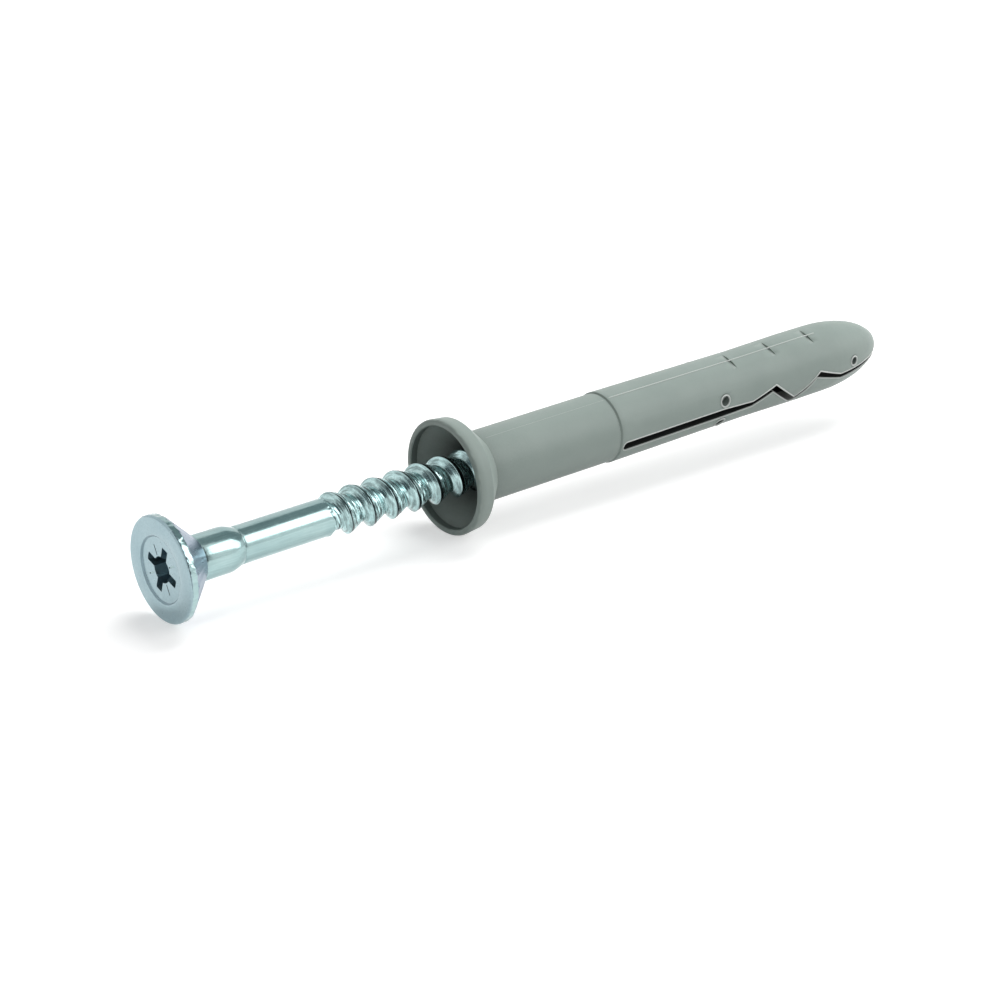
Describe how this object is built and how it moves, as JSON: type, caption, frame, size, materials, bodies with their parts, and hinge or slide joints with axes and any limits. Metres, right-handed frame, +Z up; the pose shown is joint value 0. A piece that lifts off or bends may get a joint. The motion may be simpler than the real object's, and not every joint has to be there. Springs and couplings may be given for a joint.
{
  "type": "hammer fixing plug",
  "caption": "Nylon expansion sleeve with a countersunk collar and a split zigzag nose, with a countersunk drive screw started in it, ready to be hammered into a drilled hole.",
  "frame": {"origin": "on the floor under the middle of the part's box, as the plug lies on its side", "axes": "+Z up, +X along the plug from the screw head towards the nose of the sleeve, with the axis tipped up 1.2 degrees at the nose because it rests on the rims of the head and the collar"},
  "size_m": [0.0988, 0.0128, 0.0128],
  "materials": {
    "nylon": "satin moulded grey",
    "zinc": "bright zinc plated, bluish"
  },
  "bodies": {
    "sleeve": {"sleeve": "nylon"},
    "screw": {"screw": "zinc"}
  },
  "joints": [
    {"name": "drive_in", "type": "slide", "parent": "sleeve", "child": "screw", "axis": [0.9998, 0, 0.021], "range_m": [0, 0.0353]}
  ]
}
